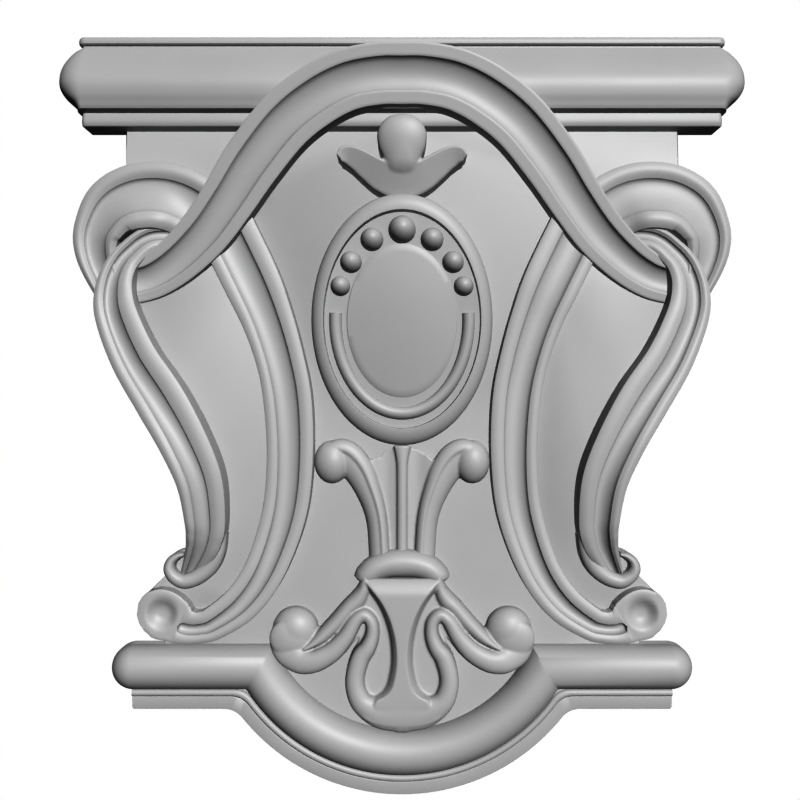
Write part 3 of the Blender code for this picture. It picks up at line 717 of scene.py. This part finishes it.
# Across and up the field, then the leaf's width
leaf_left = [
    (-22.5, 93.6, 0.6), (-22.3, 93.7, 2.4), (-21.7, 93.8, 4.1), (-20.6, 94.0, 5.4),
    (-18.6, 94.0, 6.4), (-15.4, 93.2, 7.4), (-11.2, 91.6, 8.7), (-6.3, 89.9, 9.9),
]
leaf_route = leaf_left + [(0.0, 89.0, 10.8)] + [(-u, v, w) for u, v, w in reversed(leaf_left)]


def leaf_section(width):
    """A thick leaf with upright edges, its face leaning down from the upper edge."""
    low = LEAF_DEPTH - LEAF_DROP * width
    found = [(-1, FOOT), (-1, low - 0.6), (-0.96, low - 0.2)]
    for i in range(LEAF_FACE_STEPS + 1):
        share = LEAF_FACE_START + LEAF_FACE_WIDTH * i / LEAF_FACE_STEPS
        found.append((share, LEAF_DEPTH - LEAF_DROP * width * (1 - share) / 2))
    found += [(0.9, LEAF_DEPTH - 0.1), (0.97, LEAF_DEPTH - 0.5), (1, LEAF_DEPTH - 1.1)]
    return [*found, (1, FOOT)]


leaves = band(leaf_route, leaf_section, LEAF_STEPS)
bud_left = [
    (0.0, 101.7), (-4.2, 101.2), (-7.2, 99.9), (-8.7, 97.9), (-8.2, 95.6), (-7.0, 94.0),
    (-5.8, 92.4), (-4.9, 91.0), (-3.4, 89.9), (0.0, 89.2),
]
bud_half = [on_field(u, v) for u, v in smooth(bud_left, BUD_OUTLINE_STEPS)]
middle = on_field(*BUD_PLACE)
bud = swelling(both_halves(bud_half), middle, domed(FOOT, BUD_SPRING, BUD_DEPTH, BUD_STEPS))
lean(bud, BUD_LEAN, middle.y)
neck = on_field(*NECK_PLACE).y
for vert in bud.verts:
    if vert.co.z > FOOT + HAIR:
        vert.co.z -= NECK_DROP * max(neck - vert.co.y, 0) ** 2
palmette = softened(cast("palmette", [leaves, bud], resin), PALMETTE_ROUNDS)
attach(palmette, "root")
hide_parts("onlay")

# Husk
# The drop under the medallion: a fluted fan between two stems with balls, gathered by a collar,
# over a bell with a spoon-shaped hollow at each side and a leaf that scrolls away from it.
STEM_DEPTH = 8.8
STEM_SPRING = 4.2
STEM_RISE = 3.7
STEM_OUTER_STEPS = 10
STEM_CREASE = 0.12
STEM_INNER = 0.34
STEM_FALL = 2.6
STEM_INNER_STEPS = 8
STEM_STEPS = 12
HUSK_BALL_PLACE = (-25.3, 35.6)
HUSK_BALL_HALF = (5.8, 7.1)
HUSK_BALL_SPRING = 5.2
HUSK_BALL_DEPTH = 9.9
SMALL_SIDES = 48
LARGE_SIDES = 60
BOSS_STEPS = 14
FAN_DEPTH = 6.6
FAN_HALF_WIDTH = 10.1
FAN_TOP = -8.7
FAN_DROP = 4.4
FAN_BOTTOM = -46.0
FAN_STEPS = 16
FLUTE = 0.6
RIB_DEPTH = 8.2
RIB_ROUND = 1.2
RIB_STEPS = 4
COLLAR_SPRING = 0.62
HUSK_STEPS = 8
BELL_DEPTH = 12.7
BELL_SHOULDER = 10.3
BELL_SHOULDER_STEPS = 12
BELL_FLANK = 2.2
BELL_TAIL = -10.5
BELL_TAIL_DROP = 0.12
HOLLOW_DEPTH = 9.0
SLAB_DEPTH = 6.2
LOWER_ROLL_SPRING = 0.7
LOWER_ROLL_FULLNESS = 0.6
UPPER_ROLL_DEPTH = 11.0
UPPER_ROLL_SPRING = 0.72
LOWER_BALL_PLACE = (-38.4, 3.1)
LOWER_BALL_HALF = (7.5, 7.5)
LOWER_BALL_DEPTH = 11.0
SHOULDER_PLACE = (-40.3, 1.9)
SHOULDER_HALF = (6.4, 6.0)
SHOULDER_SPRING = 9.2
LOBE_PLACE = (0, -12.0)
LOBE_HALF = (13.0, 4.6)
LOBE_SPRING = 12.2
HUSK_ROUNDS = 4
# Across and up the field, then the width, here and in the routes below
stem_route = [
    (-26.8, 36.3, 6.0), (-24.6, 37.0, 9.0), (-21.6, 36.9, 10.8), (-18.4, 35.7, 10.9),
    (-15.2, 33.4, 9.9), (-12.2, 29.9, 8.3), (-10.0, 26.4, 7.3), (-8.8, 22.6, 6.8), (-8.1, 15.8, 6.8),
]


def stem_section(width):
    """Two rolls with a fine crease between: the outer rises to it and the inner falls away."""
    spring = STEM_DEPTH - STEM_SPRING
    found = [(-1, FOOT), (-1, spring)]
    for i in range(1, STEM_OUTER_STEPS + 1):
        turn = math.pi / 2 * i / STEM_OUTER_STEPS
        share = STEM_CREASE - (1 + STEM_CREASE) * math.cos(turn)
        found.append((share, spring + STEM_RISE * math.sin(turn)))
    found += [(0.15, STEM_DEPTH - 1.1), (0.22, STEM_DEPTH - 0.3)]
    for i in range(STEM_INNER_STEPS + 1):
        turn = math.pi / 2 * i / STEM_INNER_STEPS
        share = STEM_INNER + (1 - STEM_INNER) * math.sin(turn)
        found.append((share, STEM_DEPTH - STEM_FALL * (1 - math.cos(turn))))
    return [*found, (1, FOOT)]


def boss(place, half, sides, spring, crown):
    """A domed oval on the field: its place, its half sizes and its depths."""
    at = on_field(*place)
    return swelling(ellipse(at, *half, sides), at, domed(FOOT, spring, crown, BOSS_STEPS))


stem = band(stem_route, stem_section, STEM_STEPS)
ball = boss(HUSK_BALL_PLACE, HUSK_BALL_HALF, SMALL_SIDES, HUSK_BALL_SPRING, HUSK_BALL_DEPTH)
fan_section = [(-FAN_HALF_WIDTH, FOOT)]
for i in range(2 * FAN_STEPS + 1):
    share = i / FAN_STEPS - 1
    sunk = FLUTE * math.sin(math.pi * abs(share)) ** 2
    fan_section.append((share * FAN_HALF_WIDTH, FAN_DEPTH - sunk))
fan_section.append((FAN_HALF_WIDTH, FOOT))
tops = [FAN_TOP - FAN_DROP * (x / FAN_HALF_WIDTH) ** 2 for x, _ in fan_section]
bottom_ring = [(x, FAN_BOTTOM, z) for x, z in fan_section]
top_ring = [(x, top, z) for (x, z), top in zip(fan_section, tops)]
fan = drawn_out([bottom_ring, top_ring])
rib_route = [(0, 38.8, 5.6), (0, 37.8, 4.9), (0, 36.2, 3.9), (0, 33.0, 3.3), (0, 16.0, 3.3)]
rib = band(rib_route, lambda _: rolled(RIB_DEPTH, RIB_DEPTH - RIB_ROUND), RIB_STEPS)
# The collar and the lower roll have the depth of their crown too
collar_left = [
    (-14.5, 12.6, 3.2, 8.2), (-14.4, 12.7, 5.4, 9.6), (-13.9, 13.1, 6.7, 10.5),
    (-12.5, 13.9, 7.5, 11.0), (-9.5, 15.1, 8.2, 11.2), (-5.0, 15.9, 8.8, 11.2),
]
collar_right = [(-u, *rest) for u, *rest in reversed(collar_left)]
collar_route = collar_left + [(0.0, 16.1, 9.2, 11.2)] + collar_right
collar = band(collar_route, lambda _, crown: rolled(crown, crown * COLLAR_SPRING), HUSK_STEPS)
slab_outline = [
    (0.5, 13.7), (-14.4, 12.4), (-18.0, 9.5), (-23.0, 6.8), (-30.2, 2.7), (-28.5, -2.6),
    (-20.5, -1.6), (-14.0, 3.0), (-18.7, -2.7), (-19.4, -6.6), (-17.0, -11.4), (-12.6, -13.8),
    (-6.5, -15.0), (0.5, -15.3),
]
slab = plate([on_field(u, v) for u, v in slab_outline], FOOT, SLAB_DEPTH)
hollow_outline = [
    (0.5, 11.0), (-13.4, 11.6), (-15.2, 8.4), (-13.4, 6.6), (-11.0, 5.0), (-11.6, 0.0),
    (-14.0, -8.0), (-8.0, -11.6), (0.5, -11.6),
]
hollow = plate([on_field(u, v) for u, v in hollow_outline], FOOT, HOLLOW_DEPTH)
bell_edge = [
    (-13.9, 13.4), (-10.4, 11.3), (-6.8, 8.7), (-3.95, 5.4), (-2.15, 1.5), (-1.8, -2.7), (-2.9, -6.2),
    (-4.3, -7.9), (-6.4, -8.9), (-8.6, -9.5), (-9.6, -10.3), (-9.2, -11.3), (-7.5, -12.4),
    (-4.0, -13.6),
]
rings = []
for i, (u, v) in enumerate(smooth(bell_edge, HUSK_STEPS)):
    at = on_field(u, v)
    turn = math.pi / 2 * min(i / BELL_SHOULDER_STEPS, 1)
    z = BELL_SHOULDER + (BELL_DEPTH - BELL_SHOULDER) * math.sin(turn)
    z -= BELL_TAIL_DROP * max(BELL_TAIL - v, 0) ** 2
    low = at.x - BELL_FLANK
    flank = [(low, FOOT), (low, HOLLOW_DEPTH - 0.4), (at.x - BELL_FLANK / 2, z - 1.5), (at.x, z)]
    rings.append([(x, at.y, h) for x, h in flank + [(-x, h) for x, h in reversed(flank)]])
bell = drawn_out(rings)
lower_route = [
    (-42.4, 3.2, 8.0, 9.4), (-42.4, 1.4, 9.4, 9.9), (-40.8, -0.6, 9.8, 10.5), (-38.3, -1.9, 9.0, 11.2),
    (-35.2, -2.7, 7.9, 11.8), (-30.5, -2.4, 7.2, 12.3), (-24.7, -0.6, 6.5, 12.4),
    (-20.2, 2.1, 5.6, 12.4), (-16.6, 5.3, 4.8, 12.3), (-13.5, 6.4, 4.3, 12.2),
    (-10.9, 5.0, 4.3, 12.2), (-10.6, 2.6, 4.6, 12.2), (-12.2, 0.2, 5.3, 12.4),
    (-15.0, -2.0, 6.1, 12.4), (-16.8, -5.6, 6.2, 12.5), (-16.1, -8.6, 6.6, 12.6),
    (-13.5, -10.8, 7.6, 12.7), (-7.8, -12.3, 10.2, 12.7), (0.0, -12.6, 11.8, 12.7),
    (1.0, -12.6, 11.8, 12.7),
]
lower_roll = band(
    lower_route,
    lambda _, crown: rolled(crown, crown * LOWER_ROLL_SPRING, FOOT, LOWER_ROLL_FULLNESS),
    HUSK_STEPS,
)
upper_route = [
    (-13.0, 13.8, 3.0), (-13.6, 11.4, 4.2), (-15.8, 9.2, 5.6), (-19.2, 7.5, 5.2), (-23.5, 4.8, 5.2),
    (-28.4, 2.2, 4.6), (-31.8, 0.8, 3.0), (-35.0, -0.2, 1.6),
]
upper_spring = UPPER_ROLL_DEPTH * UPPER_ROLL_SPRING
upper_roll = band(upper_route, lambda _: rolled(UPPER_ROLL_DEPTH, upper_spring), HUSK_STEPS)
lower_ball = boss(LOWER_BALL_PLACE, LOWER_BALL_HALF, LARGE_SIDES, SLAB_DEPTH, LOWER_BALL_DEPTH)
shoulder = boss(SHOULDER_PLACE, SHOULDER_HALF, SMALL_SIDES, SHOULDER_SPRING, LOWER_BALL_DEPTH)
lobe = boss(LOBE_PLACE, LOBE_HALF, LARGE_SIDES, LOBE_SPRING, BELL_DEPTH)
left_parts = [stem, ball, slab, hollow, lower_roll, upper_roll, lower_ball, shoulder]
husk = softened(cast("husk", [fan, rib, bell, lobe], resin, left_parts), HUSK_ROUNDS)
husk_collar = cast("husk_collar", [collar], resin)
for piece in (husk, husk_collar):
    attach(piece, "root")
    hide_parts("onlay")

# Floor and light
# The casting is shown as hung, above a plain pale floor in a white room. The camera sees both as
# white, but they give the casting next to no light, so that the faces turned down stay dark.
WHITE = (1, 1, 1, 1)
FLOOR_HALF_SIZE = 6
FLOOR_BELOW = 0.35
FLOOR_DARK = (0.02, 0.02, 0.02, 1)
FLOOR_ROUGHNESS = 0.9
ROOM_FILL = 0.05


def white_to_camera(tree, glow_kind, otherwise, output):
    """Shows plain white to the camera and the other shader to every other ray."""
    glow = tree.nodes.new(glow_kind)
    glow.inputs["Color"].default_value = WHITE
    glow.inputs["Strength"].default_value = 1.0
    seen = tree.nodes.new("ShaderNodeLightPath")
    mix = tree.nodes.new("ShaderNodeMixShader")
    tree.links.new(seen.outputs["Is Camera Ray"], mix.inputs["Fac"])
    tree.links.new(otherwise, mix.inputs[1])
    tree.links.new(glow.outputs[0], mix.inputs[2])
    tree.links.new(mix.outputs["Shader"], output.inputs["Surface"])


floor_mesh = bmesh.new()
bmesh.ops.create_grid(floor_mesh, x_segments=1, y_segments=1, size=FLOOR_HALF_SIZE)
bmesh.ops.translate(floor_mesh, verts=floor_mesh.verts, vec=(0, 0, cad_box[0][2] - FLOOR_BELOW))
floor_data = bpy.data.meshes.new("floor")
floor_mesh.to_mesh(floor_data)
floor_mesh.free()
floor = bpy.data.objects.new("floor", floor_data)
bpy.context.scene.collection.objects.link(floor)
pale = bpy.data.materials.new("pale_floor")
pale.use_nodes = True
nodes = pale.node_tree.nodes
dark = nodes["Principled BSDF"]
dark.inputs["Base Color"].default_value = FLOOR_DARK
dark.inputs["Roughness"].default_value = FLOOR_ROUGHNESS
white_to_camera(
    pale.node_tree, "ShaderNodeEmission", dark.outputs["BSDF"], nodes["Material Output"]
)
floor_data.materials.append(pale)

room = bpy.data.worlds.new("room")
room.use_nodes = True
nodes = room.node_tree.nodes
fill = nodes["Background"]
fill.inputs["Color"].default_value = WHITE
fill.inputs["Strength"].default_value = ROOM_FILL
white_to_camera(
    room.node_tree, "ShaderNodeBackground", fill.outputs["Background"], nodes["World Output"]
)
bpy.context.scene.world = room

# A soft key light stands up and to the right of the camera and casts no shadows. A second light
# stands straight behind, and only the back sees it.
KEY_TOWARDS = Vector((-0.28, 0.86, -0.42))
KEY_ENERGY = 8.1
KEY_ANGLE = math.radians(12)
REAR_TOWARDS = Vector((0, -1, -0.12))
REAR_ENERGY = 7.0
REAR_ANGLE = math.radians(5)
VIEW_GAMMA = 0.5


def sun(name, towards, energy, angle):
    """A distant light that shines in this direction."""
    light = bpy.data.lights.new(name, "SUN")
    light.energy = energy
    light.angle = angle
    lamp = bpy.data.objects.new(name, light)
    lamp.rotation_euler = towards.to_track_quat("-Z", "Y").to_euler()
    bpy.context.scene.collection.objects.link(lamp)
    return light


key = sun("key", KEY_TOWARDS, KEY_ENERGY, KEY_ANGLE)
key.use_shadow = False
sun("rear", REAR_TOWARDS, REAR_ENERGY, REAR_ANGLE)
bpy.context.scene.view_settings.view_transform = "Standard"
bpy.context.scene.view_settings.gamma = VIEW_GAMMA

# Camera
# About level with the middle of the casting and close, so that its depth shows in perspective.
CAMERA_DISTANCE = 0.322
CAMERA_HEIGHT = 0.0063
CAMERA_LENS = 43.456
CAMERA_SENSOR = 36
CAMERA_SHIFT = -0.0025
CAMERA_NEAR = 0.01
camera_data = bpy.data.cameras.new("camera")
camera_data.lens = CAMERA_LENS
camera_data.sensor_width = CAMERA_SENSOR
camera_data.shift_x = CAMERA_SHIFT
camera_data.clip_start = CAMERA_NEAR
camera = bpy.data.objects.new("camera", camera_data)
camera.location = (0, -CAMERA_DISTANCE, CAMERA_HEIGHT)
camera.rotation_euler = (math.pi / 2, 0, 0)
bpy.context.scene.collection.objects.link(camera)
bpy.context.scene.camera = camera
